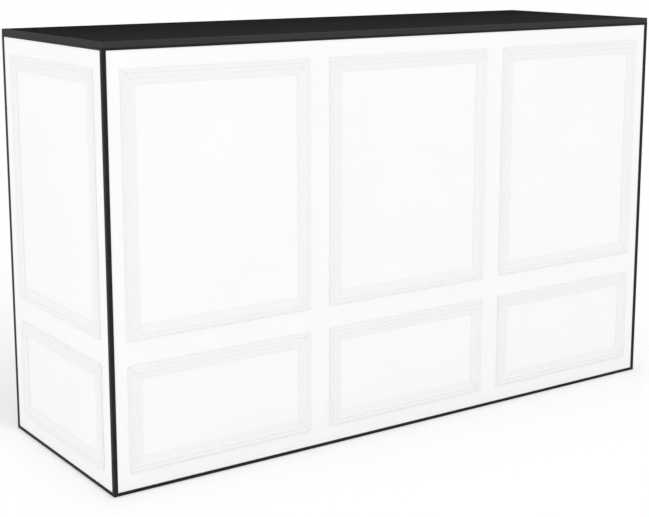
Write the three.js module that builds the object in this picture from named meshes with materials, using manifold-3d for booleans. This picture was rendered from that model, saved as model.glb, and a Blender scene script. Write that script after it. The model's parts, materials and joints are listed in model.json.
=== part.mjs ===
// Bar counter with shelves: a black edge frame filled with white panels, picture-frame mouldings on
// the front and both ends, a flat black top, and a deck and a shelf that are reached from the back.
// Millimetres, +Z up. The front faces -Y, and the origin is at the middle of the footprint.

import * as THREE from 'three';
import { mergeVertices } from 'three/addons/utils/BufferGeometryUtils.js';
import Module from 'manifold-3d';

const wasm = await Module();
wasm.setup();

// Overall sizes, over the outer faces of the frame
const LENGTH = 1800;
const DEPTH = 600;
const HEIGHT = 1100;

// Gap wherever two pieces meet, sides of a round piece, and how far a drill runs past a face
const FIT = 0.3;
const ROUND_SIDES = 24;
const DRILL_OVERRUN = 1;

// Counter top
const TOP_THICKNESS = 14;

// Panels, which lie a little behind the outer faces of the frame
const PANEL_THICKNESS = 4;
const PANEL_RECESS = 1.5;

// Posts: a square nose that shows, and two flanges behind the panels
const POST_NOSE = 11;
const POST_FLANGE = 25;
const FLANGE_THICKNESS = 3;

// Rails: a nose that shows, a leg behind the panel and a ledge that points inwards
const BOTTOM_NOSE = 8;
const TOP_NOSE = 6;
const TOP_LEG = 32;
const LEDGE_WIDTH = 25;
const LEDGE_THICKNESS = 3;
const DECK_HEIGHT = 60;

// Mouldings: columns and rows of frames, and their margins to the outer faces
const FRONT_COLUMNS = 3;
const FRONT_MARGIN = 45;
const END_MARGIN = 53;
const COLUMN_GAP = 60;
const BOTTOM_MARGIN = 50;
const LOWER_ROW = 272;
const ROW_GAP = 60;
const TOP_MARGIN = 65;

// Moulding profile, from its outer edge to its inner edge, with heights above the panel
const STEP_WIDTH = 4;
const STEP_HEIGHT = 2;
const BEAD_WIDTH = 6;
const BEAD_SHOULDER = 4.4;
const BEAD_HEIGHT = 6;
const GROOVE_WIDTH = 4;
const GROOVE_HEIGHT = 4;
const FILLET_WIDTH = 6;
const FILLET_HEIGHT = 5;
const COVE_WIDTH = 7;
const LIP_WIDTH = 6;
const LIP_HEIGHT = 2.4;
const CHAMFER_WIDTH = 5;
const EDGE_HEIGHT = 0.8;
const CURVE_STEPS = 6;

// Uprights behind the front panel, and the stiffener under the shelf
const TUBE_SIDE = 25;
const TUBE_WALL = 2;

// Deck and shelf
const DECK_THICKNESS = 16;
const SHELF_HEIGHT = 540;
const SHELF_THICKNESS = 18;
const SHELF_DEPTH = 480;
const STIFFENER_SETBACK = 12;

// Angle bearers under the shelf
const BEARER_WIDTH = 25;
const BEARER_DROP = 30;
const BEARER_THICKNESS = 3;

// Corner plates
const PLATE_SIZE = 80;
const PLATE_THICKNESS = 4;
const BOTTOM_PLATE_HEIGHT = 20;

// Levelling feet, which stay clear of the floor when they are wound in
const FOOT_INSET = 60;
const FOOT_LIFT = 1;
const PAD_RADIUS = 20;
const PAD_HEIGHT = 6;
const HUB_RADIUS = 9;
const HUB_HEIGHT = 5;
const STEM_RADIUS = 5;
const STEM_HEADROOM = 8;
const NUT_FLATS = 17;
const NUT_HEIGHT = 8;

// Screws up into the counter top, and bolts through the bearers into the posts
const SCREW_RADIUS = 2.5;
const SCREW_BITE = 9;
const BOLT_RADIUS = 3;
const HEAD_OVERHANG = 3;
const HEAD_HEIGHT = 3.3;
const HEAD_CROWN = 0.6;

// Depths measured inwards from an outer face
const flangeFace = PANEL_RECESS + PANEL_THICKNESS + FIT;
const flangeBack = flangeFace + FLANGE_THICKNESS;
const flangeEnd = POST_NOSE + POST_FLANGE;
const insideFace = flangeBack + FIT;
const ledgeEdge = flangeBack + LEDGE_WIDTH;
const noseStart = POST_NOSE + FIT;
const railStart = Math.max(flangeEnd, ledgeEdge) + FIT;
const uprightBack = insideFace + TUBE_SIDE;
const bearerEdge = insideFace + BEARER_WIDTH;
const plateEdge = insideFace + PLATE_SIZE;

// Heights
const frameTop = HEIGHT - TOP_THICKNESS - FIT;
const topLedge = frameTop - LEDGE_THICKNESS;
const topPlate = topLedge - FIT - PLATE_THICKNESS;
const bearerTop = SHELF_HEIGHT - FIT;
const boltHeight = bearerTop - (BEARER_DROP + BEARER_THICKNESS) / 2;
const upperRow = BOTTOM_MARGIN + LOWER_ROW + ROW_GAP;

// Mouldings
const mouldingWidth = STEP_WIDTH + BEAD_WIDTH + GROOVE_WIDTH + FILLET_WIDTH
  + COVE_WIDTH + LIP_WIDTH + CHAMFER_WIDTH;
const mouldingBack = PANEL_RECESS - FIT;
const mouldingProud = BEAD_HEIGHT - mouldingBack;
const columnWidth = (LENGTH - 2 * FRONT_MARGIN - (FRONT_COLUMNS - 1) * COLUMN_GAP) / FRONT_COLUMNS;
const columnPitch = columnWidth + COLUMN_GAP;

const BLACK_FRAME = { color: 0x1f1f20, roughness: 0.45, metalness: 0.3 };
const BLACK_TOP = { color: 0x29292a, roughness: 0.5, metalness: 0 };
const WHITE_PANEL = { color: 0xfafafa, roughness: 0.4, metalness: 0 };
const WHITE_MOULDING = { color: 0xf4f4f4, roughness: 0.5, metalness: 0 };
const WHITE_BOARD = { color: 0xf0f0ee, roughness: 0.5, metalness: 0 };
const ZINC = { color: 0xb4b8bc, roughness: 0.35, metalness: 1 };
const BLACK_FOOT = { color: 0x18181a, roughness: 0.6, metalness: 0 };

// Each side of the counter: the axis it runs along, its run, and the place of a depth behind its face
const SIDES = {
  front: { axis: 'x', run: LENGTH, place: (depth) => depth },
  rear: { axis: 'x', run: LENGTH, place: (depth) => DEPTH - depth },
  left: { axis: 'y', run: DEPTH, place: (depth) => depth },
  right: { axis: 'y', run: DEPTH, place: (depth) => LENGTH - depth },
};
const CORNERS = [['front', 'left'], ['front', 'right'], ['rear', 'left'], ['rear', 'right']];

// Turns that stand a section up and run it along X or Y
const X_AXIS = new THREE.Vector3(1, 0, 0);
const Y_AXIS = new THREE.Vector3(0, 1, 0);
const Z_AXIS = new THREE.Vector3(0, 0, 1);
const ALONG = {
  x: new THREE.Matrix4().makeBasis(Y_AXIS, Z_AXIS, X_AXIS),
  y: new THREE.Matrix4().makeBasis(Z_AXIS, X_AXIS, Y_AXIS),
};

// Everything is placed from the front left bottom corner of the frame
const counter = new THREE.Group();
const frame = new THREE.Group();
frame.position.set(-LENGTH / 2, (mouldingProud - DEPTH) / 2, 0);
counter.add(frame);

function add(name, geometry, finish) {
  const mesh = new THREE.Mesh(geometry, new THREE.MeshStandardMaterial(finish));
  mesh.name = name;
  frame.add(mesh);
  return mesh;
}

function points(pairs) {
  return pairs.map(([x, y]) => new THREE.Vector2(x, y));
}

function rectangle(x0, y0, x1, y1) {
  return [[x0, y0], [x1, y0], [x1, y1], [x0, y1]];
}

function polygon(x, y, radius, sides) {
  const turn = (2 * Math.PI) / sides;
  return Array.from({ length: sides }, (_, i) => [
    x + radius * Math.cos(i * turn),
    y + radius * Math.sin(i * turn),
  ]);
}

// An outline with holes, extruded from one height to another
function prism(outline, from, to, holes = []) {
  const shape = new THREE.Shape(points(outline));
  shape.holes = holes.map((hole) => new THREE.Path(points(hole)));
  const solid = new THREE.ExtrudeGeometry(shape, { depth: to - from, bevelEnabled: false });
  return solid.translate(0, 0, from);
}

// A section of [depth, height] pairs that runs along a side, clear of both its ends
function sideBar(side, section, start, holes = []) {
  const { axis, run, place } = SIDES[side];
  const turn = ([depth, height]) => (axis === 'x' ? [place(depth), height] : [height, place(depth)]);
  const bar = prism(section.map(turn), start, run - start, holes.map((hole) => hole.map(turn)));
  return bar.applyMatrix4(ALONG[axis]);
}

// A place in plan, from its depths behind the outer faces that meet at a corner
function cornerPlace([face, end], [fromEnd, fromFace]) {
  return [SIDES[end].place(fromEnd), SIDES[face].place(fromFace)];
}

function toSolid(geometry) {
  const bare = geometry.clone();
  bare.deleteAttribute('normal');
  bare.deleteAttribute('uv');
  const merged = mergeVertices(bare);
  return new wasm.Manifold(new wasm.Mesh({
    numProp: 3,
    vertProperties: merged.attributes.position.array,
    triVerts: Uint32Array.from(merged.index.array),
  }));
}

function toGeometry(solid) {
  const { vertProperties, triVerts } = solid.getMesh();
  const geometry = new THREE.BufferGeometry();
  geometry.setAttribute('position', new THREE.BufferAttribute(vertProperties, 3));
  geometry.setIndex(new THREE.BufferAttribute(triVerts, 1));
  geometry.computeVertexNormals();
  return geometry;
}

function join(first, second) {
  return toGeometry(toSolid(first).add(toSolid(second)));
}

// A piece with a round hole from one point to another
function drill(geometry, radius, from, to) {
  const way = to.clone().sub(from);
  const middle = from.clone().addScaledVector(way, 0.5);
  const tool = new THREE.CylinderGeometry(radius, radius, way.length(), ROUND_SIDES);
  tool.applyQuaternion(new THREE.Quaternion().setFromUnitVectors(Y_AXIS, way.clone().normalize()));
  tool.translate(middle.x, middle.y, middle.z);
  return toGeometry(toSolid(geometry).subtract(toSolid(tool)));
}

// A round piece turned about its own Y axis
function turned(profile) {
  return new THREE.LatheGeometry(points(profile), ROUND_SIDES);
}

// A fastener whose shank points along +Y, with the underside of its head at zero
function fastener(radius, length) {
  const head = radius + HEAD_OVERHANG;
  return turned([
    [0, -HEAD_HEIGHT],
    [head - HEAD_CROWN, -HEAD_HEIGHT],
    [head, HEAD_CROWN - HEAD_HEIGHT],
    [head, 0],
    [radius, 0],
    [radius, length],
    [0, length],
  ]);
}

// Where the bolt of an end bearer runs through a post's flange
function boltLine([face, end], depth) {
  const [x, y] = cornerPlace([face, end], [depth, (flangeBack + flangeEnd) / 2]);
  return new THREE.Vector3(x, y, boltHeight);
}

function drillForBolt(geometry, corner, from, to) {
  const start = boltLine(corner, from - DRILL_OVERRUN);
  const finish = boltLine(corner, to + DRILL_OVERRUN);
  return drill(geometry, BOLT_RADIUS + FIT, start, finish);
}

function addPosts() {
  const outline = [
    [0, 0],
    [POST_NOSE, 0],
    [POST_NOSE, flangeFace],
    [flangeEnd, flangeFace],
    [flangeEnd, flangeBack],
    [flangeBack, flangeBack],
    [flangeBack, flangeEnd],
    [flangeFace, flangeEnd],
    [flangeFace, POST_NOSE],
    [0, POST_NOSE],
  ];
  for (const corner of CORNERS) {
    const post = prism(outline.map((depths) => cornerPlace(corner, depths)), 0, frameTop);
    const drilled = drillForBolt(post, corner, flangeFace, flangeBack);
    add(`post_${corner.join('_')}`, drilled, BLACK_FRAME);
  }
}

function addRails() {
  const bottom = [
    [0, 0],
    [flangeBack, 0],
    [flangeBack, DECK_HEIGHT - LEDGE_THICKNESS],
    [ledgeEdge, DECK_HEIGHT - LEDGE_THICKNESS],
    [ledgeEdge, DECK_HEIGHT],
    [flangeFace, DECK_HEIGHT],
    [flangeFace, BOTTOM_NOSE],
    [0, BOTTOM_NOSE],
  ];
  const top = [
    [0, frameTop],
    [ledgeEdge, frameTop],
    [ledgeEdge, topLedge],
    [flangeBack, topLedge],
    [flangeBack, frameTop - TOP_LEG],
    [flangeFace, frameTop - TOP_LEG],
    [flangeFace, frameTop - TOP_NOSE],
    [0, frameTop - TOP_NOSE],
  ];
  const bottomNose = rectangle(0, 0, flangeFace - FIT, BOTTOM_NOSE);
  const topNose = rectangle(0, frameTop - TOP_NOSE, flangeFace - FIT, frameTop);
  const rail = (side, section, nose) => join(
    sideBar(side, section, railStart),
    sideBar(side, nose, noseStart),
  );
  for (const side of Object.keys(SIDES)) {
    add(`bottom_rail_${side}`, rail(side, bottom, bottomNose), BLACK_FRAME);
    add(`top_rail_${side}`, rail(side, top, topNose), BLACK_FRAME);
  }
}

function addPanels() {
  const section = rectangle(
    PANEL_RECESS,
    BOTTOM_NOSE + FIT,
    PANEL_RECESS + PANEL_THICKNESS,
    frameTop - TOP_NOSE - FIT,
  );
  for (const side of ['front', 'left', 'right']) {
    add(`${side}_panel`, sideBar(side, section, noseStart), WHITE_PANEL);
  }
}

// Closed profile of a moulding: how far in from its outer edge, and how high above its back
function mouldingProfile() {
  const groove = STEP_WIDTH + BEAD_WIDTH;
  const fillet = groove + GROOVE_WIDTH;
  const cove = fillet + FILLET_WIDTH;
  const lip = cove + COVE_WIDTH;
  const path = new THREE.Path();
  path.moveTo(0, 0);
  path.lineTo(0, STEP_HEIGHT);
  path.lineTo(STEP_WIDTH, STEP_HEIGHT);
  path.lineTo(STEP_WIDTH, BEAD_SHOULDER);
  path.quadraticCurveTo(STEP_WIDTH + BEAD_WIDTH / 2, 2 * BEAD_HEIGHT - BEAD_SHOULDER, groove, BEAD_SHOULDER);
  path.lineTo(groove, GROOVE_HEIGHT);
  path.lineTo(fillet, GROOVE_HEIGHT);
  path.lineTo(fillet, FILLET_HEIGHT);
  path.lineTo(cove, FILLET_HEIGHT);
  path.quadraticCurveTo(cove, LIP_HEIGHT, lip, LIP_HEIGHT);
  path.lineTo(lip + LIP_WIDTH, LIP_HEIGHT);
  path.lineTo(mouldingWidth, EDGE_HEIGHT);
  path.lineTo(mouldingWidth, 0);
  path.lineTo(0, 0);
  return path.getPoints(CURVE_STEPS);
}

// A mitred frame that faces +Y: a square ring of the profile, drawn out to a rectangle
function mouldingGeometry(width, height) {
  const half = Math.min(width, height) / 2;
  const profile = mouldingProfile().map((p) => new THREE.Vector2((half - p.x) * Math.SQRT2, p.y));
  const ring = new THREE.LatheGeometry(profile, 4, Math.PI / 4);
  const place = ring.attributes.position;
  for (let i = 0; i < place.count; i += 1) {
    place.setX(i, place.getX(i) + Math.sign(place.getX(i)) * (width / 2 - half));
    place.setZ(i, place.getZ(i) + Math.sign(place.getZ(i)) * (height / 2 - half));
  }
  return ring;
}

// An upper and a lower moulding, one above the other, centred on a place in plan
function addMouldings(name, width, [x, y], turn) {
  const rows = [
    ['lower', BOTTOM_MARGIN, LOWER_ROW],
    ['upper', upperRow, HEIGHT - TOP_MARGIN - upperRow],
  ];
  for (const [row, bottom, height] of rows) {
    const moulding = add(`${name}_moulding_${row}`, mouldingGeometry(width, height), WHITE_MOULDING);
    moulding.rotation.z = turn;
    moulding.position.set(x, y, bottom + height / 2);
  }
}

function addAllMouldings() {
  for (let column = 0; column < FRONT_COLUMNS; column += 1) {
    const x = FRONT_MARGIN + columnWidth / 2 + column * columnPitch;
    addMouldings(`front_${column + 1}`, columnWidth, [x, mouldingBack], Math.PI);
  }
  const endWidth = DEPTH - 2 * END_MARGIN;
  addMouldings('left', endWidth, [mouldingBack, DEPTH / 2], Math.PI / 2);
  addMouldings('right', endWidth, [LENGTH - mouldingBack, DEPTH / 2], -Math.PI / 2);
}

// Middles of the gaps between the columns of mouldings, where the uprights stand
function uprightMiddles() {
  const gaps = FRONT_COLUMNS - 1;
  const first = FRONT_MARGIN + columnWidth + COLUMN_GAP / 2;
  return Array.from({ length: gaps }, (_, gap) => first + gap * columnPitch);
}

function tubeOutlines(x0, y0) {
  const outer = rectangle(x0, y0, x0 + TUBE_SIDE, y0 + TUBE_SIDE);
  const bore = rectangle(
    x0 + TUBE_WALL,
    y0 + TUBE_WALL,
    x0 + TUBE_SIDE - TUBE_WALL,
    y0 + TUBE_SIDE - TUBE_WALL,
  );
  return { outer, bore };
}

function addUprights() {
  uprightMiddles().forEach((middle, i) => {
    const { outer, bore } = tubeOutlines(middle - TUBE_SIDE / 2, insideFace);
    const upright = prism(outer, DECK_HEIGHT + FIT, topLedge - FIT, [bore]);
    add(`upright_${i + 1}`, upright, BLACK_FRAME);
  });
}

// A board between the ends, notched round the uprights at its front edge
function boardOutline(rearEdge) {
  const half = TUBE_SIDE / 2 + FIT;
  const notchEnd = uprightBack + FIT;
  const notches = uprightMiddles().flatMap((middle) => [
    [middle - half, insideFace],
    [middle - half, notchEnd],
    [middle + half, notchEnd],
    [middle + half, insideFace],
  ]);
  return [
    [insideFace, insideFace],
    ...notches,
    [LENGTH - insideFace, insideFace],
    [LENGTH - insideFace, rearEdge],
    [insideFace, rearEdge],
  ];
}

// An angle whose upright leg stands at a depth and whose flat leg carries the shelf
function bearerSection(face) {
  return [
    [face, bearerTop],
    [face + BEARER_WIDTH, bearerTop],
    [face + BEARER_WIDTH, bearerTop - BEARER_THICKNESS],
    [face + BEARER_THICKNESS, bearerTop - BEARER_THICKNESS],
    [face + BEARER_THICKNESS, bearerTop - BEARER_DROP],
    [face, bearerTop - BEARER_DROP],
  ];
}

function addShelving() {
  const deckBottom = DECK_HEIGHT + FIT;
  const deck = prism(boardOutline(DEPTH - insideFace), deckBottom, deckBottom + DECK_THICKNESS);
  add('deck', deck, WHITE_BOARD);
  const shelfRear = insideFace + SHELF_DEPTH;
  const shelf = prism(boardOutline(shelfRear), SHELF_HEIGHT, SHELF_HEIGHT + SHELF_THICKNESS);
  add('shelf', shelf, WHITE_BOARD);

  for (const end of ['left', 'right']) {
    const plain = sideBar(end, bearerSection(insideFace), insideFace);
    const legBack = insideFace + BEARER_THICKNESS;
    const drilled = ['front', 'rear'].reduce(
      (bearer, face) => drillForBolt(bearer, [face, end], insideFace, legBack),
      plain,
    );
    add(`shelf_bearer_${end}`, drilled, BLACK_FRAME);
  }
  const frontBearer = sideBar('front', bearerSection(uprightBack + FIT), bearerEdge + FIT);
  add('shelf_bearer_front', frontBearer, BLACK_FRAME);

  const stiffenerFront = shelfRear - STIFFENER_SETBACK - TUBE_SIDE;
  const { outer, bore } = tubeOutlines(stiffenerFront, bearerTop - TUBE_SIDE);
  add('shelf_stiffener', sideBar('front', outer, bearerEdge + FIT, [bore]), BLACK_FRAME);
}

function addBearerBolts() {
  const headSeat = insideFace + BEARER_THICKNESS + FIT;
  const length = headSeat - flangeFace - FIT;
  for (const corner of CORNERS) {
    const bolt = add(`bearer_bolt_${corner.join('_')}`, fastener(BOLT_RADIUS, length), ZINC);
    bolt.position.copy(boltLine(corner, headSeat));
    bolt.rotation.z = corner[1] === 'left' ? Math.PI / 2 : -Math.PI / 2;
  }
}

// A square plate in a corner of the frame, with one round hole
function cornerPlate(corner, bottom, holePlace, holeRadius) {
  const outline = rectangle(insideFace, insideFace, plateEdge, plateEdge);
  const hole = polygon(...cornerPlace(corner, holePlace), holeRadius, ROUND_SIDES);
  return prism(
    outline.map((depths) => cornerPlace(corner, depths)),
    bottom,
    bottom + PLATE_THICKNESS,
    [hole],
  );
}

function levellingFoot() {
  const hubBottom = FOOT_LIFT + PAD_HEIGHT;
  return turned([
    [0, FOOT_LIFT],
    [PAD_RADIUS, FOOT_LIFT],
    [PAD_RADIUS, hubBottom],
    [HUB_RADIUS, hubBottom + HUB_HEIGHT],
    [STEM_RADIUS, hubBottom + HUB_HEIGHT],
    [STEM_RADIUS, DECK_HEIGHT - STEM_HEADROOM],
    [0, DECK_HEIGHT - STEM_HEADROOM],
  ]);
}

function addFeet() {
  const place = [FOOT_INSET, FOOT_INSET];
  const nutBottom = BOTTOM_PLATE_HEIGHT + PLATE_THICKNESS + FIT;
  const nutRadius = NUT_FLATS / Math.sqrt(3);
  for (const corner of CORNERS) {
    const [x, y] = cornerPlace(corner, place);
    const suffix = corner.join('_');
    const plate = cornerPlate(corner, BOTTOM_PLATE_HEIGHT, place, STEM_RADIUS + FIT);
    add(`bottom_plate_${suffix}`, plate, BLACK_FRAME);

    const thread = polygon(0, 0, STEM_RADIUS + FIT, ROUND_SIDES);
    const nut = add(`lock_nut_${suffix}`, prism(polygon(0, 0, nutRadius, 6), 0, NUT_HEIGHT, [thread]), ZINC);
    nut.position.set(x, y, nutBottom);

    const foot = add(`levelling_foot_${suffix}`, levellingFoot(), BLACK_FOOT);
    foot.rotation.x = Math.PI / 2;
    foot.position.set(x, y, 0);
  }
}

function addTop() {
  const topBottom = HEIGHT - TOP_THICKNESS;
  const middle = (ledgeEdge + plateEdge) / 2;
  const screwSeat = topPlate - FIT;
  const screwLength = topBottom + SCREW_BITE - screwSeat;
  let slab = prism(rectangle(0, 0, LENGTH, DEPTH), topBottom, HEIGHT);
  for (const corner of CORNERS) {
    const [x, y] = cornerPlace(corner, [middle, middle]);
    const suffix = corner.join('_');
    const hole = SCREW_RADIUS + FIT;
    add(`top_plate_${suffix}`, cornerPlate(corner, topPlate, [middle, middle], hole), BLACK_FRAME);

    const screw = add(`top_screw_${suffix}`, fastener(SCREW_RADIUS, screwLength), ZINC);
    screw.rotation.x = Math.PI / 2;
    screw.position.set(x, y, screwSeat);

    const mouth = new THREE.Vector3(x, y, topBottom - DRILL_OVERRUN);
    const end = new THREE.Vector3(x, y, topBottom + SCREW_BITE + FIT);
    slab = drill(slab, hole, mouth, end);
  }
  add('counter_top', slab, BLACK_TOP);
}

addPosts();
addRails();
addPanels();
addAllMouldings();
addUprights();
addShelving();
addBearerBolts();
addFeet();
addTop();

export default counter;
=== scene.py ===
"""Dresses the solids of a bar counter with shelves, and sets the counter on a white stage.

The pieces get eased edges, mitred mouldings, edge bands, threads, recesses for drivers and finishes.
"""

import json
import math

import bmesh
import bpy
from bpy.props import FloatProperty, FloatVectorProperty, PointerProperty
from mathutils import Matrix, Vector


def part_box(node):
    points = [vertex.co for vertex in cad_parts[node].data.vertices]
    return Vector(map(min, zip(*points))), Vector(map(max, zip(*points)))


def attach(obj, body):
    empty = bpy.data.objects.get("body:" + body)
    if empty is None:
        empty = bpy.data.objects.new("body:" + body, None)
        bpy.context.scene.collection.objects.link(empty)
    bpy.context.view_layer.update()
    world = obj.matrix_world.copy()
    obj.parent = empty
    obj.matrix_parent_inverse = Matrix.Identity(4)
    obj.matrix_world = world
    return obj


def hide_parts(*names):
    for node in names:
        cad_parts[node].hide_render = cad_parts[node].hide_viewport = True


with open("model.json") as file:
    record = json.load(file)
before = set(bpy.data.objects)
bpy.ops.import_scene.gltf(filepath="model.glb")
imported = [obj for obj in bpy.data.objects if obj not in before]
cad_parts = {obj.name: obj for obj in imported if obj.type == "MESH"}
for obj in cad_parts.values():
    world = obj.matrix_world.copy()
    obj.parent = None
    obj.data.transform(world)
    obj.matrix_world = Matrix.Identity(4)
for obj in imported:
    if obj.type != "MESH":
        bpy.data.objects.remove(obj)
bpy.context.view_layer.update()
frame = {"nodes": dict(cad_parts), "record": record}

bl_info = {
    "name": "Bar counter finishes",
    "version": (1, 0, 0),
    "blender": (4, 5, 0),
    "location": "View3D > Sidebar > Counter",
    "description": "Dresses a bar counter's solids with eased edges, finishes and a white stage",
    "category": "Object",
}

# Words in the names of the solids
CORNERS = ("front_left", "front_right", "rear_left", "rear_right")
SIDES = ("front", "rear", "left", "right")
PANELLED_SIDES = ("front", "left", "right")
MOULDING_COLUMNS = ("front_1", "front_2", "front_3", "left", "right")
MOULDING_ROWS = ("lower", "upper")
TUBES = ("upright_1", "upright_2", "shelf_stiffener")

# Directions, and the pairs that lie across a fastener which stands up or lies along the counter
RIGHT = Vector((1.0, 0.0, 0.0))
BACK = Vector((0.0, 1.0, 0.0))
UP = Vector((0.0, 0.0, 1.0))
ACROSS_STANDING = (RIGHT, BACK)
ACROSS_LYING = (BACK, UP)

# Limits of the modelling steps, in metres, radians or shares of a direction
WELD = 0.000002  # points this close are one point
SLIVER = 0.00002  # points this close beside a mitre are one point
BORE_MARGIN = 0.001  # room between a bore and the lines scored beside it
SHORTEST_EASED = 0.0012  # shorter edges, such as those round drilled holes, stay sharp
SHORTEST_LENGTHWISE = 0.05  # shorter edges of a moulding lie across its end
FLAT = math.radians(1.0)  # faces that turn by less are one face
SHARP = math.radians(25.0)  # faces that turn by more meet at a sharp edge
LEVEL = 0.99  # a face whose normal points up or down by this share is level
ALONG = 0.9  # an edge that follows a direction by this share runs along it

# Sides of the round pieces
HEAD_SIDES = 48
RIM_SIDES = 48
THREAD_SIDES = 20

# Form of a fastener's head and tip, and of one turn of thread, as shares of their sizes
CROWN_SHARE = 0.62  # flat crown, of the head's radius
CROWN_INSET_SHARE = 0.25  # ring round the recess before it takes its outline, of the crown
DOME_SHARE = 0.7  # height of the dome, of the head's height
DOME_STEPS = 6
TIP_SHARE = 0.15  # chamfer at the tip, of the shank's radius
CREST_START = 0.42  # where the thread's crest starts and ends, of its pitch
CREST_END = 0.58

# A piece's finishes by number, and its attribute of worn edges
MAIN_FINISH, SECOND_FINISH = 0, 1
WEAR = "edge_wear"

# Sockets of a Mix node for colours, and a socket's plain white
MIX_SHARE, MIX_FIRST, MIX_SECOND, MIX_RESULT = 0, 6, 7, 2
WHITE = (1.0, 1.0, 1.0, 1.0)


# Sizes and colours that a user would change


def length(name, description, default):
    """A length in metres, shown with Blender's length unit."""
    return FloatProperty(
        name=name, description=description, default=default, min=0.0, precision=5, unit="LENGTH"
    )


def point(name, description, default):
    """A point in metres."""
    return FloatVectorProperty(
        name=name, description=description, default=default, size=3, subtype="XYZ", unit="LENGTH"
    )


def rotation(name, description, degrees):
    """An angle, given in degrees."""
    return FloatProperty(
        name=name, description=description, default=math.radians(degrees),
        subtype="ANGLE", unit="ROTATION",
    )


def tone(name, description, default):
    """A linear colour."""
    return FloatVectorProperty(
        name=name, description=description, default=default, min=0.0, max=1.0, size=3, subtype="COLOR"
    )


def factor(name, description, default, highest=1.0):
    """A plain number from nothing up to a highest value."""
    return FloatProperty(
        name=name, description=description, default=default, min=0.0, max=highest, subtype="FACTOR"
    )


class CounterDetails(bpy.types.PropertyGroup):
    """Sizes of the details that finish the counter's pieces."""

    frame_ease: length("Frame edges", "Radius on the edges of posts and rails", 0.0006)
    top_ease: length("Top edges", "Radius along the edges of the counter top", 0.0010)
    top_corner: length("Top corners", "Radius at the four corners of the counter top", 0.0016)
    panel_ease: length("Panel edges", "Radius on the edges of the panels", 0.0004)
    mitre_gap: length("Mitre gap", "Width of the joint where two lengths of moulding meet", 0.0003)
    moulding_ease: length("Moulding edges", "Radius on the sharp edges of the mouldings", 0.00025)
    band_thickness: length("Edge band", "Thickness of the band round deck and shelf", 0.0010)
    band_ease: length("Band edges", "Radius along the edge band", 0.0007)
    tube_ease: length("Tube corners", "Outer radius of the square tubes", 0.0025)
    plate_ease: length("Plate edges", "Radius on the edges of plates and bearers", 0.0005)
    bearer_fillet: length("Bearer fillet", "Radius inside a bearer's bend", 0.0025)
    bolt_radius: length("Bolt radius", "Radius of a bearer bolt's shank", 0.0030)
    screw_radius: length("Screw radius", "Radius of a top screw's shank", 0.0025)
    head_height: length("Head height", "Height of the heads of bolts and screws", 0.0033)
    key_size: length("Key size", "Width across the flats of the bolts' hexagon socket", 0.0040)
    cross_length: length("Cross length", "Reach of one arm of the screws' cross recess", 0.0024)
    cross_width: length("Cross width", "Width of one arm of the screws' cross recess", 0.0011)
    drive_depth: length("Drive depth", "Depth of the recesses that a driver fits", 0.0018)
    nut_ease: length("Nut edges", "Chamfer on the edges of the lock nuts", 0.0008)
    pad_rim: length("Pad rim", "Height of the rim of a foot's pad", 0.0060)
    pad_cone: length("Pad cone", "Height of the cone from a pad's rim to its hub", 0.0050)
    hub_radius: length("Hub radius", "Radius of a pad at its hub", 0.0090)
    rim_rib: length("Rim rib", "Depth of the grip ribs round a pad's rim", 0.0006)
    stem_radius: length("Stem radius", "Radius of a levelling stem over its thread", 0.0050)
    thread_pitch: length("Thread pitch", "Rise of a levelling stem's thread in one turn", 0.0015)
    thread_depth: length("Thread depth", "Height of the thread on a levelling stem", 0.0009)


class CounterColours(bpy.types.PropertyGroup):
    """Colours of the counter's finishes."""

    frame: tone("Frame", "Black powder coat", (0.0180, 0.0180, 0.0185))
    frame_edge: tone("Frame edge", "Powder coat where it is thin over an edge", (0.0450, 0.0450, 0.0460))
    top: tone("Top", "Black laminate of the counter top", (0.0178, 0.0178, 0.0182))
    core: tone("Core", "Black core along the edge of the counter top", (0.0430, 0.0430, 0.0435))
    panel: tone("Panel", "White laminate of the panels", (0.9650, 0.9650, 0.9650))
    moulding: tone("Moulding", "White paint on the mouldings", (0.9150, 0.9150, 0.9150))
    board: tone("Board", "White melamine of deck and shelf", (0.8700, 0.8700, 0.8600))
    band: tone("Band", "White edge band of deck and shelf", (0.9000, 0.9000, 0.8950))
    zinc: tone("Zinc", "Bright zinc plating on the fasteners", (0.6000, 0.6100, 0.6300))
    foot: tone("Foot", "Black plastic of the feet", (0.0120, 0.0120, 0.0120))


class CounterStage(bpy.types.PropertyGroup):
    """Camera, light and floor."""

    camera_place: point("Camera place", "Where the camera stands", (-2.2727, -3.1796, 1.3224))
    camera_yaw: rotation("Camera yaw", "Turn of the camera from square-on towards the right", 34.641)
    camera_pitch: rotation("Camera pitch", "Tilt of the camera below the horizon", 10.318)
    camera_shift: FloatProperty(
        name="Camera shift", description="Upward shift of the view, as a share of the picture's width",
        default=-0.10,
    )
    lens: FloatProperty(
        name="Lens", description="Focal length in millimetres", default=76.45, min=10.0, unit="CAMERA"
    )
    floor_reach: length("Floor reach", "Half the width of the floor", 40.0)
    floor_colour: tone("Floor", "Pale floor", (0.9400, 0.9400, 0.9400))
    floor_lift: factor("Floor lift", "Light that the camera sees added to the floor", 0.06)
    sky_fill: factor("Sky fill", "Strength of the even light from all round", 1.00, highest=2.0)
    key_power: FloatProperty(
        name="Key lamp", description="Power of the large lamp at the front left",
        default=16.0, min=0.0, unit="POWER",
    )
    key_width: length("Key width", "Width of the large lamp", 3.5)
    key_height: length("Key height", "Height of the large lamp", 2.5)
    key_place: point("Key place", "Where the large lamp hangs", (-3.4, -3.6, 3.4))
    key_aim: point("Key aim", "The point that the large lamp is turned to", (0.0, 0.0, 0.6))


# Modelling steps


def welded(node):
    """A copy of a node's solid with its triangles joined."""
    bm = bmesh.new()
    bm.from_mesh(frame["nodes"][node].data)
    bm.faces.layers.float.new(WEAR)
    bmesh.ops.remove_doubles(bm, verts=bm.verts, dist=WELD)
    return bm


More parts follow.
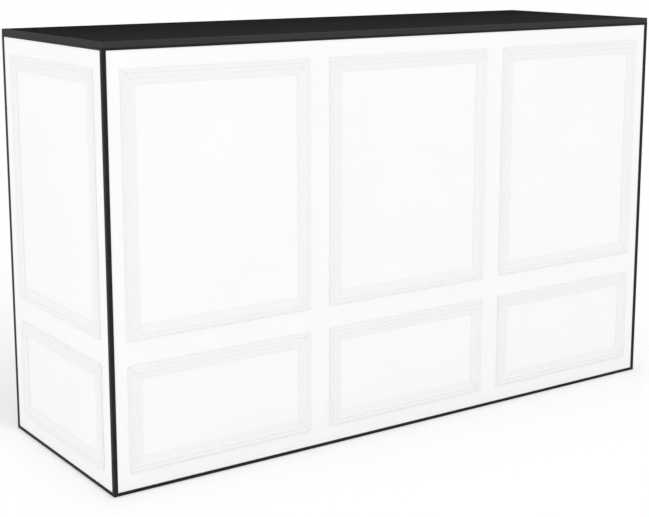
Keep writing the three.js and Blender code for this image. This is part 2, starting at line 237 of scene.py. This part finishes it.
def make_faces_whole(bm):
    """Takes out the flat joints between triangles, other than the scored ones."""
    bmesh.ops.dissolve_limit(bm, angle_limit=FLAT, verts=bm.verts, edges=bm.edges, delimit={"SEAM"})


def score_round(bm, fastener, directions):
    """Scores lines beside a fastener, so that no flat joint runs from its bore to a far corner."""
    low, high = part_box(fastener)
    for across in directions:
        for place in (low - across * BORE_MARGIN, high + across * BORE_MARGIN):
            cut = bmesh.ops.bisect_plane(
                bm, geom=bm.verts[:] + bm.edges[:] + bm.faces[:], dist=WELD,
                plane_co=place, plane_no=across,
            )
            for part in cut["geom_cut"]:
                if isinstance(part, bmesh.types.BMEdge):
                    part.seam = True


def cad_copy(node, fasteners=(), directions=ACROSS_STANDING):
    """A copy of a node's solid with whole faces, scored round the fasteners that go through it."""
    bm = welded(node)
    for fastener in fasteners:
        score_round(bm, fastener, directions)
    make_faces_whole(bm)
    return bm


def runs_along(edge, direction):
    """Whether an edge runs along a direction, one way or the other."""
    return abs((edge.verts[1].co - edge.verts[0].co).normalized().dot(direction)) > ALONG


def sharp_edges(bm, wanted=lambda edge: True):
    """The edges where two faces meet at a clear angle, other than the short ones round drilled holes."""
    return [
        edge for edge in bm.edges
        if edge.is_manifold
        and edge.calc_face_angle() > SHARP
        and edge.calc_length() > SHORTEST_EASED
        and wanted(edge)
    ]


def ease(bm, edges, radius, segments=3):
    """Rounds edges, and marks the faces that this makes as the places where a finish wears."""
    made = bmesh.ops.bevel(
        bm, geom=edges, offset=radius, offset_type="OFFSET", affect="EDGES",
        segments=segments, profile=0.5, material=-1,
    )
    wear = bm.faces.layers.float.get(WEAR)
    for face in made["faces"]:
        face.smooth = True
        face[wear] = 1.0


def finish_sides_apart(bm):
    """Gives the level faces the main finish and the sides the second one."""
    for face in bm.faces:
        face.material_index = MAIN_FINISH if abs(face.normal.z) > LEVEL else SECOND_FINISH


def turned(profile, sides):
    """A shell turned about +Z from a chain of (radius, height) points, with its open ends filled."""
    bm = bmesh.new()
    chain = [bm.verts.new((radius, 0.0, height)) for radius, height in profile]
    edges = [bm.edges.new(pair) for pair in zip(chain, chain[1:])]
    bmesh.ops.spin(
        bm, geom=chain + edges, cent=(0.0, 0.0, 0.0), axis=UP,
        angle=math.tau, steps=sides, use_merge=True,
    )
    bmesh.ops.remove_doubles(bm, verts=bm.verts, dist=WELD)
    bmesh.ops.holes_fill(bm, edges=bm.edges, sides=0)
    bmesh.ops.recalc_face_normals(bm, faces=bm.faces)
    return bm


def cut_away(bm, place, outward):
    """Cuts a solid at a plane and takes away what lies beyond it."""
    bmesh.ops.bisect_plane(
        bm, geom=bm.verts[:] + bm.edges[:] + bm.faces[:], dist=WELD,
        plane_co=place, plane_no=outward, clear_outer=True,
    )


def join(bm, other):
    """Adds another bmesh to this one and frees it."""
    scratch = bpy.data.meshes.new("scratch")
    other.to_mesh(scratch)
    other.free()
    bm.from_mesh(scratch)
    bpy.data.meshes.remove(scratch)


def body_of(node):
    """The body that a node belongs to in the record."""
    bodies = frame["record"]["behaviour"]["bodies"]
    return next(body for body, members in bodies.items() if node in members)


def add_piece(context, name, bm, finishes, node, smooth_angle=None):
    """Makes an object of a bmesh, gives it its finishes and puts it in the place of a node's solid."""
    mesh = bpy.data.meshes.new(name)
    bm.to_mesh(mesh)
    bm.free()
    solid_normals = mesh.attributes.get("custom_normal")
    if solid_normals:
        mesh.attributes.remove(solid_normals)
    for finish_name in finishes:
        mesh.materials.append(finish(context, finish_name))
    if smooth_angle is not None:
        mesh.shade_smooth()
        mesh.set_sharp_from_angle(angle=smooth_angle)
    piece = bpy.data.objects.new(name, mesh)
    context.scene.collection.objects.link(piece)
    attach(piece, body_of(node))
    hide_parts(node)


def add_eased(context, node, radius, finish_name, fasteners=(), directions=ACROSS_STANDING):
    """Adds a node's own shape with its sharp edges eased."""
    bm = cad_copy(node, fasteners, directions)
    ease(bm, sharp_edges(bm), radius)
    add_piece(context, f"{node}_finished", bm, [finish_name], node)


# Finishes


class Finish:
    """A material's nodes, with the patterns that the counter's finishes share."""

    def __init__(self, name, specular, metallic=0.0):
        self.material = bpy.data.materials.new(name)
        self.material.use_nodes = True
        self.nodes = self.material.node_tree.nodes
        self.links = self.material.node_tree.links
        self.shader = self.nodes["Principled BSDF"]
        self.shader.inputs["Specular IOR Level"].default_value = specular
        self.shader.inputs["Metallic"].default_value = metallic
        self.place = self.nodes.new("ShaderNodeTexCoord").outputs["Object"]

    def grain(self, scale, detail, stretch=None):
        """Noise with about this many grains in a metre, times a stretch on each axis."""
        noise = self.nodes.new("ShaderNodeTexNoise")
        noise.inputs["Scale"].default_value = scale
        noise.inputs["Detail"].default_value = detail
        place = self.place
        if stretch:
            mapping = self.nodes.new("ShaderNodeMapping")
            mapping.inputs["Scale"].default_value = stretch
            self.links.new(place, mapping.inputs["Vector"])
            place = mapping.outputs["Vector"]
        self.links.new(place, noise.inputs["Vector"])
        return noise.outputs["Fac"]

    def along(self, axis):
        """The coordinate on one axis, in metres."""
        parts = self.nodes.new("ShaderNodeSeparateXYZ")
        self.links.new(self.place, parts.inputs["Vector"])
        return parts.outputs[axis]

    def worn_edges(self, share):
        """This share on the eased edges and nothing elsewhere."""
        attribute = self.nodes.new("ShaderNodeAttribute")
        attribute.attribute_name = WEAR
        return self.spread(attribute.outputs["Fac"], high=share, start=0.0, end=1.0)

    def spread(self, value, low=0.0, high=1.0, start=0.3, end=0.7):
        """Stretches the range of a value from start to end over low to high."""
        stretch = self.nodes.new("ShaderNodeMapRange")
        stretch.inputs["From Min"].default_value = start
        stretch.inputs["From Max"].default_value = end
        stretch.inputs["To Min"].default_value = low
        stretch.inputs["To Max"].default_value = high
        self.links.new(value, stretch.inputs["Value"])
        return stretch.outputs["Result"]

    def blend(self, share, first, second):
        """Goes from a first colour to a second one with a share. A colour is a tone or another blend."""
        mix = self.nodes.new("ShaderNodeMix")
        mix.data_type = "RGBA"
        self.links.new(share, mix.inputs[MIX_SHARE])
        for colour, socket in ((first, mix.inputs[MIX_FIRST]), (second, mix.inputs[MIX_SECOND])):
            if isinstance(colour, bpy.types.NodeSocket):
                self.links.new(colour, socket)
            else:
                socket.default_value = (*colour, 1.0)
        return mix.outputs[MIX_RESULT]

    def apply(self, colour, roughness, relief, depth):
        """Links a colour, a roughness and a fine relief of this depth to the shader."""
        self.links.new(colour, self.shader.inputs["Base Color"])
        self.links.new(roughness, self.shader.inputs["Roughness"])
        bump = self.nodes.new("ShaderNodeBump")
        bump.inputs["Distance"].default_value = depth
        self.links.new(relief, bump.inputs["Height"])
        self.links.new(bump.outputs["Normal"], self.shader.inputs["Normal"])
        return self.material


def shade(colour, share):
    """A colour made lighter or darker."""
    return [min(1.0, channel * share) for channel in colour]


def powder_coat(colours):
    """Satin black powder coat with a fine orange peel, thinner and paler along its edges."""
    coat = Finish("powder_coat", specular=0.07)
    patches = coat.spread(coat.grain(scale=28.0, detail=4.0))
    body = coat.blend(patches, shade(colours.frame, 0.9), shade(colours.frame, 1.12))
    colour = coat.blend(coat.worn_edges(share=0.6), body, colours.frame_edge)
    roughness = coat.spread(coat.grain(scale=210.0, detail=3.0), low=0.38, high=0.52)
    orange_peel = coat.grain(scale=1100.0, detail=1.0)
    return coat.apply(colour, roughness, orange_peel, depth=0.00003)


def top_laminate(colours):
    """Matt black laminate with a pearl texture, wiping marks and painted light, paler towards the front
    edge.
    """
    sheet = Finish("top_laminate", specular=0.0005)
    low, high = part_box("counter_top")
    # Painted light: the base colour is darker at the back and paler towards the front edge
    painted_front_light = sheet.spread(sheet.along("Y"), low=1.0, high=0.0, start=low.y, end=high.y)
    body = sheet.blend(painted_front_light, shade(colours.top, 0.65), shade(colours.top, 1.55))
    wiping = sheet.grain(scale=5.0, detail=5.0, stretch=(0.5, 2.5, 1.0))
    streaks = sheet.spread(wiping, high=0.4, start=0.4, end=0.75)
    wiped = sheet.blend(streaks, body, shade(colours.top, 2.0))
    speckle = sheet.spread(sheet.grain(scale=550.0, detail=3.0), high=0.6)
    colour = sheet.blend(speckle, wiped, shade(colours.top, 0.4))
    smears = sheet.grain(scale=5.0, detail=4.0, stretch=(0.5, 2.0, 1.0))
    roughness = sheet.spread(smears, low=0.70, high=0.84)
    pearl = sheet.grain(scale=650.0, detail=2.0)
    return sheet.apply(colour, roughness, pearl, depth=0.00003)


def top_core(colours):
    """The black core along the top's edge, pressed from many thin layers."""
    core = Finish("top_core", specular=0.01)
    layers = core.spread(core.grain(scale=1.0, detail=3.0, stretch=(12.0, 12.0, 1800.0)))
    body = core.blend(layers, shade(colours.core, 0.9), shade(colours.core, 1.12))
    colour = core.blend(core.worn_edges(share=0.35), body, shade(colours.core, 2.0))
    roughness = core.spread(core.grain(scale=160.0, detail=3.0), low=0.36, high=0.5)
    lines = core.grain(scale=1.0, detail=2.0, stretch=(60.0, 60.0, 2400.0))
    return core.apply(colour, roughness, lines, depth=0.00002)


def panel_laminate(colours):
    """White satin laminate with a barely visible grain."""
    sheet = Finish("panel_laminate", specular=0.3)
    clouds = sheet.spread(sheet.grain(scale=5.0, detail=4.0))
    colour = sheet.blend(clouds, shade(colours.panel, 0.985), colours.panel)
    roughness = sheet.spread(sheet.grain(scale=90.0, detail=3.0), low=0.40, high=0.52)
    fine_grain = sheet.grain(scale=1300.0, detail=1.0)
    return sheet.apply(colour, roughness, fine_grain, depth=0.000004)


def moulding_paint(colours):
    """White paint on the mouldings, with a little stipple and paler on its edges."""
    paint = Finish("moulding_paint", specular=0.3)
    clouds = paint.spread(paint.grain(scale=40.0, detail=3.0))
    body = paint.blend(clouds, shade(colours.moulding, 0.99), colours.moulding)
    colour = paint.blend(paint.worn_edges(share=0.5), body, shade(colours.moulding, 1.04))
    roughness = paint.spread(paint.grain(scale=240.0, detail=3.0), low=0.36, high=0.5)
    stipple = paint.grain(scale=900.0, detail=2.0)
    return paint.apply(colour, roughness, stipple, depth=0.000004)


def board_melamine(colours):
    """White melamine faced board with a pearl texture and light scuffs."""
    board = Finish("board_melamine", specular=0.35)
    rubbing = board.grain(scale=14.0, detail=6.0, stretch=(0.4, 2.0, 1.0))
    scuffs = board.spread(rubbing, start=0.35, end=0.75)
    colour = board.blend(scuffs, colours.board, shade(colours.board, 0.97))
    roughness = board.spread(board.grain(scale=60.0, detail=4.0), low=0.36, high=0.55)
    pearl = board.grain(scale=1000.0, detail=2.0)
    return board.apply(colour, roughness, pearl, depth=0.00003)


def edge_band(colours):
    """White plastic edge band, a little glossier than the board."""
    band = Finish("edge_band", specular=0.45)
    drawn = band.spread(band.grain(scale=1.0, detail=3.0, stretch=(9.0, 9.0, 700.0)))
    body = band.blend(drawn, shade(colours.band, 0.96), colours.band)
    colour = band.blend(band.worn_edges(share=0.4), body, shade(colours.band, 0.9))
    roughness = band.spread(band.grain(scale=120.0, detail=3.0), low=0.28, high=0.42)
    ripple = band.grain(scale=500.0, detail=2.0)
    return band.apply(colour, roughness, ripple, depth=0.00001)


def zinc_plate(colours):
    """Bright zinc plating with a soft crystal mottle."""
    zinc = Finish("zinc_plate", specular=0.5, metallic=1.0)
    mottle = zinc.spread(zinc.grain(scale=420.0, detail=3.0))
    colour = zinc.blend(mottle, shade(colours.zinc, 0.82), shade(colours.zinc, 1.12))
    roughness = zinc.spread(zinc.grain(scale=900.0, detail=3.0), low=0.26, high=0.44)
    crystals = zinc.grain(scale=1600.0, detail=2.0)
    return zinc.apply(colour, roughness, crystals, depth=0.00001)


def foot_plastic(colours):
    """Matt black moulded plastic with a fine spark grain and scuffs."""
    plastic = Finish("foot_plastic", specular=0.35)
    scuffs = plastic.spread(plastic.grain(scale=120.0, detail=4.0))
    colour = plastic.blend(scuffs, shade(colours.foot, 0.8), shade(colours.foot, 1.6))
    roughness = plastic.spread(plastic.grain(scale=400.0, detail=3.0), low=0.5, high=0.68)
    spark_grain = plastic.grain(scale=1500.0, detail=2.0)
    return plastic.apply(colour, roughness, spark_grain, depth=0.00004)


FINISHES = {
    make.__name__: make
    for make in (
        powder_coat, top_laminate, top_core, panel_laminate, moulding_paint,
        board_melamine, edge_band, zinc_plate, foot_plastic,
    )
}


def finish(context, name):
    """A finish by name, made the first time that a piece asks for it."""
    return bpy.data.materials.get(name) or FINISHES[name](context.scene.counter_colours)


# Operators, one for each group of like pieces


class CounterTop(bpy.types.Operator):
    """Make the counter top, a slab with eased edges and a layered core"""

    bl_idname = "counter.top"
    bl_label = "Counter Top"

    def execute(self, context):
        details = context.scene.counter_details
        low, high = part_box("counter_top")
        bm = cad_copy("counter_top", [f"top_screw_{corner}" for corner in CORNERS])

        def on_rim(edge):
            middle = (edge.verts[0].co + edge.verts[1].co) / 2
            from_ends = min(middle.x - low.x, high.x - middle.x)
            from_front_or_back = min(middle.y - low.y, high.y - middle.y)
            return min(from_ends, from_front_or_back) < details.top_corner

        corners = sharp_edges(bm, lambda edge: on_rim(edge) and runs_along(edge, UP))
        ease(bm, corners, details.top_corner, segments=4)
        level_edges = sharp_edges(bm, lambda edge: on_rim(edge) and not runs_along(edge, UP))
        ease(bm, level_edges, details.top_ease)
        finish_sides_apart(bm)
        add_piece(context, "laminate_top", bm, ["top_laminate", "top_core"], "counter_top")
        return {"FINISHED"}


class CounterPosts(bpy.types.Operator):
    """Make the four corner posts, folded sections with eased edges"""

    bl_idname = "counter.posts"
    bl_label = "Corner Posts"

    def execute(self, context):
        radius = context.scene.counter_details.frame_ease
        for corner in CORNERS:
            post = f"post_{corner}"
            bolts = [f"bearer_bolt_{corner}"]
            add_eased(context, post, radius, "powder_coat", bolts, ACROSS_LYING)
        return {"FINISHED"}


class CounterRails(bpy.types.Operator):
    """Make the eight rails of the frame, four at the floor and four under the top"""

    bl_idname = "counter.rails"
    bl_label = "Rails"

    def execute(self, context):
        radius = context.scene.counter_details.frame_ease
        for side in SIDES:
            for level in ("bottom", "top"):
                add_eased(context, f"{level}_rail_{side}", radius, "powder_coat")
        return {"FINISHED"}


class CounterPanels(bpy.types.Operator):
    """Make the front panel and the two end panels"""

    bl_idname = "counter.panels"
    bl_label = "Panels"

    def execute(self, context):
        radius = context.scene.counter_details.panel_ease
        for side in PANELLED_SIDES:
            add_eased(context, f"{side}_panel", radius, "panel_laminate")
        return {"FINISHED"}


def mitred_moulding(node, gap):
    """The four lengths of a picture-frame moulding, cut apart at its mitres."""
    low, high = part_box(node)
    centre = (low + high) / 2
    half = (high - low) / 2
    along = RIGHT if half.x > half.y else BACK
    whole = bmesh.new()
    for outward, across in ((UP, along), (-UP, along), (along, UP), (-along, UP)):
        bar = welded(node)
        cut_away(bar, centre, -outward)
        for end in (across, -across):
            corner = centre + outward * abs(half.dot(outward)) + end * abs(half.dot(end))
            mitre = (end - outward).normalized()
            cut_away(bar, corner - mitre * gap / 2, mitre)
        bmesh.ops.remove_doubles(bar, verts=bar.verts, dist=SLIVER)
        bmesh.ops.holes_fill(bar, edges=bar.edges, sides=0)
        make_faces_whole(bar)
        join(whole, bar)
    return whole


def is_lengthwise(edge):
    """Whether an edge runs along a length of moulding, and not across its end."""
    return edge.calc_length() > SHORTEST_LENGTHWISE


class CounterMouldings(bpy.types.Operator):
    """Make the picture-frame mouldings, each from four mitred lengths"""

    bl_idname = "counter.mouldings"
    bl_label = "Panel Mouldings"

    def execute(self, context):
        details = context.scene.counter_details
        for column in MOULDING_COLUMNS:
            for row in MOULDING_ROWS:
                node = f"{column}_moulding_{row}"
                bm = mitred_moulding(node, details.mitre_gap)
                ease(bm, sharp_edges(bm, is_lengthwise), details.moulding_ease, segments=2)
                name = f"{node}_mitred"
                add_piece(context, name, bm, ["moulding_paint"], node, SHARP)
        return {"FINISHED"}


class CounterTubes(bpy.types.Operator):
    """Make the square tubes: two uprights behind the front and the shelf's stiffener"""

    bl_idname = "counter.tubes"
    bl_label = "Square Tubes"

    def execute(self, context):
        radius = context.scene.counter_details.tube_ease
        for node in TUBES:
            low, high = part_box(node)
            run = max((RIGHT, BACK, UP), key=(high - low).dot)
            bm = cad_copy(node)
            outer_corners = sharp_edges(bm, lambda edge: runs_along(edge, run) and edge.is_convex)
            ease(bm, outer_corners, radius, segments=5)
            add_piece(context, f"{node}_tube", bm, ["powder_coat"], node)
        return {"FINISHED"}


class CounterBoards(bpy.types.Operator):
    """Make the deck and the shelf, faced boards with a band round their edges"""

    bl_idname = "counter.boards"
    bl_label = "Deck and Shelf"

    def execute(self, context):
        details = context.scene.counter_details
        for node in ("deck", "shelf"):
            bm = cad_copy(node)
            finish_sides_apart(bm)
            broad = [face for face in bm.faces if face.material_index == MAIN_FINISH]
            ring = bmesh.ops.inset_region(
                bm, faces=broad, thickness=details.band_thickness, use_even_offset=True
            )
            for face in ring["faces"]:
                face.material_index = SECOND_FINISH
            ease(bm, sharp_edges(bm), details.band_ease)
            add_piece(context, f"{node}_board", bm, ["board_melamine", "edge_band"], node)
        return {"FINISHED"}


class CounterBearers(bpy.types.Operator):
    """Make the three angle bearers under the shelf"""

    bl_idname = "counter.bearers"
    bl_label = "Shelf Bearers"

    def execute(self, context):
        details = context.scene.counter_details
        for side in PANELLED_SIDES:
            node = f"shelf_bearer_{side}"
            bolts = [f"bearer_bolt_{corner}" for corner in CORNERS if corner.endswith(side)]
            bm = cad_copy(node, bolts, ACROSS_LYING)
            ease(bm, sharp_edges(bm, lambda edge: not edge.is_convex), details.bearer_fillet, segments=4)
            ease(bm, sharp_edges(bm, lambda edge: edge.is_convex), details.plate_ease)
            add_piece(context, f"{node}_angle", bm, ["powder_coat"], node)
        return {"FINISHED"}


class CounterPlates(bpy.types.Operator):
    """Make the corner plates at the feet and under the top"""

    bl_idname = "counter.plates"
    bl_label = "Corner Plates"

    def execute(self, context):
        radius = context.scene.counter_details.plate_ease
        for corner in CORNERS:
            for level, fastener in (("bottom", "levelling_foot"), ("top", "top_screw")):
                plate = f"{level}_plate_{corner}"
                add_eased(context, plate, radius, "powder_coat", [f"{fastener}_{corner}"])
        return {"FINISHED"}


def hexagon(flats):
    """The radius of a hexagonal socket at each angle."""
    sixth = math.pi / 3

    def radius(angle):
        return flats / 2 / math.cos((angle + sixth / 2) % sixth - sixth / 2)

    return radius


def cross(reach, width):
    """The radius of a cross recess at each angle."""

    def radius(angle):
        side = min(abs(math.sin(angle)), abs(math.cos(angle)))
        return min(reach, width / 2 / max(side, WELD))

    return radius


def domed_fastener(size, head_radius, shank_radius, drive, details):
    """A fastener from its crown at the origin up to its tip, with a domed head and a driver's recess."""
    head_height = details.head_height
    crown = CROWN_SHARE * head_radius
    quarter_steps = [math.pi / 2 * step / DOME_STEPS for step in range(DOME_STEPS + 1)]
    dome = [
        (
            crown + (head_radius - crown) * math.sin(angle),
            DOME_SHARE * head_height * (1 - math.cos(angle)),
        )
        for angle in quarter_steps
    ]
    tip = TIP_SHARE * shank_radius
    shank = [
        (head_radius, head_height),
        (shank_radius, head_height),
        (shank_radius, size - tip),
        (shank_radius - tip, size),
    ]
    bm = turned(dome + shank, HEAD_SIDES)
    recess = min(bm.faces, key=lambda face: face.calc_center_median().z)
    bmesh.ops.inset_individual(bm, faces=[recess], thickness=crown * CROWN_INSET_SHARE)
    for vert in recess.verts:
        angle = math.atan2(vert.co.y, vert.co.x)
        vert.co.x = drive(angle) * math.cos(angle)
        vert.co.y = drive(angle) * math.sin(angle)
    sunk = bmesh.ops.extrude_face_region(bm, geom=[recess])
    bottom = [part for part in sunk["geom"] if isinstance(part, bmesh.types.BMVert)]
    bmesh.ops.delete(bm, geom=[recess], context="FACES_ONLY")
    bmesh.ops.translate(bm, verts=bottom, vec=UP * details.drive_depth)
    bmesh.ops.recalc_face_normals(bm, faces=bm.faces)
    return bm


def add_fastener(context, node, inward, shank_radius, drive):
    """Adds a fastener in the place of its solid, driven in along a direction."""
    low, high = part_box(node)
    span = high - low
    size = abs(span.dot(inward))
    # No fastener runs from front to back, so the depth of its box is the width of its head
    head_radius = span.dot(BACK) / 2
    bm = domed_fastener(size, head_radius, shank_radius, drive, context.scene.counter_details)
    turn = UP.rotation_difference(inward).to_matrix().to_4x4()
    seat = Matrix.Translation((low + high) / 2 - inward * size / 2)
    bmesh.ops.transform(bm, matrix=seat @ turn, verts=bm.verts)
    add_piece(context, f"{node}_driven", bm, ["zinc_plate"], node, SHARP)


class CounterFasteners(bpy.types.Operator):
    """Make the bolts that hold the bearers and the screws that hold the top"""

    bl_idname = "counter.fasteners"
    bl_label = "Bolts and Screws"

    def execute(self, context):
        details = context.scene.counter_details
        socket = hexagon(details.key_size)
        recess = cross(details.cross_length, details.cross_width)
        for corner in CORNERS:
            outward = -RIGHT if corner.endswith("left") else RIGHT
            add_fastener(context, f"bearer_bolt_{corner}", outward, details.bolt_radius, socket)
            add_fastener(context, f"top_screw_{corner}", UP, details.screw_radius, recess)
        return {"FINISHED"}


class CounterNuts(bpy.types.Operator):
    """Make the lock nuts of the levelling feet"""

    bl_idname = "counter.nuts"
    bl_label = "Lock Nuts"

    def execute(self, context):
        radius = context.scene.counter_details.nut_ease
        for corner in CORNERS:
            node = f"lock_nut_{corner}"
            bm = cad_copy(node)
            ease(bm, sharp_edges(bm, lambda edge: not runs_along(edge, UP)), radius, segments=1)
            add_piece(context, f"{node}_finished", bm, ["zinc_plate"], node)
        return {"FINISHED"}


def wound_thread(radius, bottom, top, pitch, depth):
    """A stem with a real thread: the outline of one turn wound up the stem and cut flat at both ends."""
    bm = bmesh.new()
    start = bottom - pitch
    outline = ((-depth, 0.0), (0.0, CREST_START), (0.0, CREST_END), (-depth, 1.0))
    chain = [bm.verts.new((radius + sink, 0.0, start + share * pitch)) for sink, share in outline]
    edges = [bm.edges.new(pair) for pair in zip(chain, chain[1:])]
    turns = math.ceil((top - start) / pitch) + 1
    bmesh.ops.spin(
        bm, geom=chain + edges, cent=(0.0, 0.0, 0.0), axis=UP, dvec=UP * pitch / THREAD_SIDES,
        angle=turns * math.tau, steps=turns * THREAD_SIDES,
    )
    bmesh.ops.remove_doubles(bm, verts=bm.verts, dist=WELD)
    cut_away(bm, UP * bottom, -UP)
    cut_away(bm, UP * top, UP)
    bmesh.ops.holes_fill(bm, edges=bm.edges, sides=0)
    bmesh.ops.recalc_face_normals(bm, faces=bm.faces)
    return bm


def ribbed_pad(radius, bottom, rim_top, hub_top, details):
    """A foot's pad: a flat sole, a ribbed rim and a cone up to the hub round the stem."""
    rib = details.rim_rib
    lip = 2 * rib
    bm = turned(
        [
            (0.0, bottom),
            (radius - lip, bottom),
            (radius, bottom + lip),
            (radius, rim_top - lip),
            (radius - lip, rim_top),
            (details.hub_radius + lip, hub_top - lip),
            (details.hub_radius, hub_top),
            (details.stem_radius - rib, hub_top),
            (0.0, hub_top),
        ],
        RIM_SIDES,
    )
    for vert in bm.verts:
        on_rim = vert.co.to_2d().length > radius - WELD
        side = round(math.atan2(vert.co.y, vert.co.x) / math.tau * RIM_SIDES)
        if on_rim and side % 2:
            vert.co.x *= 1 - rib / radius
            vert.co.y *= 1 - rib / radius
    return bm


class CounterFeet(bpy.types.Operator):
    """Make the levelling feet, each a plastic pad on a threaded stem"""

    bl_idname = "counter.feet"
    bl_label = "Levelling Feet"

    def execute(self, context):
        details = context.scene.counter_details
        for corner in CORNERS:
            node = f"levelling_foot_{corner}"
            low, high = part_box(node)
            centre = (low + high) / 2
            rim_top = low.z + details.pad_rim
            hub_top = rim_top + details.pad_cone
            bm = ribbed_pad((high.x - low.x) / 2, low.z, rim_top, hub_top, details)
            stem = wound_thread(
                details.stem_radius, hub_top, high.z, details.thread_pitch, details.thread_depth
            )
            for face in stem.faces:
                face.material_index = SECOND_FINISH
            join(bm, stem)
            bmesh.ops.translate(bm, verts=bm.verts, vec=(centre.x, centre.y, 0.0))
            finishes = ["foot_plastic", "zinc_plate"]
            add_piece(context, f"{node}_threaded", bm, finishes, node, SHARP)
        return {"FINISHED"}


# Stage


def seen_rays(nodes, links):
    """One for the rays that show a surface to the camera, straight, mirrored or through glass."""
    rays = nodes.new("ShaderNodeLightPath")
    seen = rays.outputs["Is Camera Ray"]
    for kind in ("Is Glossy Ray", "Is Transmission Ray"):
        either = nodes.new("ShaderNodeMath")
        either.operation = "MAXIMUM"
        links.new(seen, either.inputs[0])
        links.new(rays.outputs[kind], either.inputs[1])
        seen = either.outputs[0]
    return seen


def white_world(strength):
    """Even light from all round, which cameras and reflections see as plain white."""
    world = bpy.data.worlds.new("white_studio")
    world.use_nodes = True
    nodes, links = world.node_tree.nodes, world.node_tree.links
    nodes.clear()
    light = nodes.new("ShaderNodeBackground")
    light.inputs["Strength"].default_value = strength
    light.inputs["Color"].default_value = WHITE
    backdrop = nodes.new("ShaderNodeBackground")
    backdrop.inputs["Color"].default_value = WHITE
    mix = nodes.new("ShaderNodeMixShader")
    links.new(seen_rays(nodes, links), mix.inputs[0])
    links.new(light.outputs[0], mix.inputs[1])
    links.new(backdrop.outputs[0], mix.inputs[2])
    links.new(mix.outputs[0], nodes.new("ShaderNodeOutputWorld").inputs["Surface"])
    return world


def floor_paint(colour, lift):
    """Pale floor that keeps shadows, lifted to white for the camera and clear from below."""
    paint = bpy.data.materials.new("floor_paint")
    paint.use_nodes = True
    nodes, links = paint.node_tree.nodes, paint.node_tree.links
    nodes.clear()
    matt = nodes.new("ShaderNodeBsdfDiffuse")
    matt.inputs["Color"].default_value = (*colour, 1.0)
    amount = nodes.new("ShaderNodeMath")
    amount.operation = "MULTIPLY"
    amount.inputs[1].default_value = lift
    links.new(seen_rays(nodes, links), amount.inputs[0])
    glow = nodes.new("ShaderNodeEmission")
    links.new(amount.outputs[0], glow.inputs["Strength"])
    lifted = nodes.new("ShaderNodeAddShader")
    links.new(matt.outputs[0], lifted.inputs[0])
    links.new(glow.outputs[0], lifted.inputs[1])
    sides = nodes.new("ShaderNodeNewGeometry")
    mix = nodes.new("ShaderNodeMixShader")
    links.new(sides.outputs["Backfacing"], mix.inputs[0])
    links.new(lifted.outputs[0], mix.inputs[1])
    links.new(nodes.new("ShaderNodeBsdfTransparent").outputs[0], mix.inputs[2])
    links.new(mix.outputs[0], nodes.new("ShaderNodeOutputMaterial").inputs["Surface"])
    return paint


class CounterStudio(bpy.types.Operator):
    """Set up the white floor, the soft light and the camera"""

    bl_idname = "counter.studio"
    bl_label = "Stage"

    def execute(self, context):
        scene = context.scene
        stage = scene.counter_stage
        scene.view_settings.view_transform = "Standard"
        scene.world = white_world(stage.sky_fill)
        self.lay_floor(scene, stage)
        self.hang_lamp(scene, stage)
        self.set_camera(scene, stage)
        return {"FINISHED"}

    def lay_floor(self, scene, stage):
        bm = bmesh.new()
        bmesh.ops.create_grid(bm, x_segments=1, y_segments=1, size=stage.floor_reach)
        mesh = bpy.data.meshes.new("studio_floor")
        bm.to_mesh(mesh)
        bm.free()
        mesh.materials.append(floor_paint(stage.floor_colour, stage.floor_lift))
        floor = bpy.data.objects.new("studio_floor", mesh)
        scene.collection.objects.link(floor)

    def hang_lamp(self, scene, stage):
        light = bpy.data.lights.new("key_lamp", "AREA")
        light.shape = "RECTANGLE"
        light.size = stage.key_width
        light.size_y = stage.key_height
        light.energy = stage.key_power
        lamp = bpy.data.objects.new("key_lamp", light)
        lamp.location = stage.key_place
        aim = Vector(stage.key_aim) - lamp.location
        lamp.rotation_euler = aim.to_track_quat("-Z", "Y").to_euler()
        scene.collection.objects.link(lamp)

    def set_camera(self, scene, stage):
        view = bpy.data.cameras.new("photo_view")
        view.lens = stage.lens
        view.shift_y = stage.camera_shift
        camera = bpy.data.objects.new("photo_view", view)
        camera.location = stage.camera_place
        camera.rotation_euler = (math.pi / 2 - stage.camera_pitch, 0.0, -stage.camera_yaw)
        scene.collection.objects.link(camera)
        scene.camera = camera


# Sidebar and registration


class CounterPanel(bpy.types.Panel):
    """Lists the counter's sizes, colours, stage and steps"""

    bl_idname = "VIEW3D_PT_counter"
    bl_label = "Bar Counter"
    bl_space_type = "VIEW_3D"
    bl_region_type = "UI"
    bl_category = "Counter"

    def draw(self, context):
        for name, group in GROUPS.items():
            box = self.layout.box()
            for setting in group.__annotations__:
                box.prop(getattr(context.scene, name), setting)
        for step in STEPS:
            self.layout.operator(step.bl_idname)


STEPS = (
    CounterStudio, CounterTop, CounterPosts, CounterRails, CounterPanels, CounterMouldings, CounterTubes,
    CounterBoards, CounterBearers, CounterPlates, CounterFasteners, CounterNuts, CounterFeet,
)
GROUPS = {
    "counter_details": CounterDetails,
    "counter_colours": CounterColours,
    "counter_stage": CounterStage,
}


def register():
    for group in GROUPS.values():
        bpy.utils.register_class(group)
    for name, group in GROUPS.items():
        setattr(bpy.types.Scene, name, PointerProperty(type=group))
    for step in (*STEPS, CounterPanel):
        bpy.utils.register_class(step)


def unregister():
    for step in reversed((*STEPS, CounterPanel)):
        bpy.utils.unregister_class(step)
    for name in GROUPS:
        delattr(bpy.types.Scene, name)
    for group in reversed(GROUPS.values()):
        bpy.utils.unregister_class(group)


def main():
    register()
    bpy.ops.counter.studio()
    bpy.ops.counter.top()
    bpy.ops.counter.posts()
    bpy.ops.counter.rails()
    bpy.ops.counter.panels()
    bpy.ops.counter.mouldings()
    bpy.ops.counter.tubes()
    bpy.ops.counter.boards()
    bpy.ops.counter.bearers()
    bpy.ops.counter.plates()
    bpy.ops.counter.fasteners()
    bpy.ops.counter.nuts()
    bpy.ops.counter.feet()


if __name__ == "__main__":
    main()
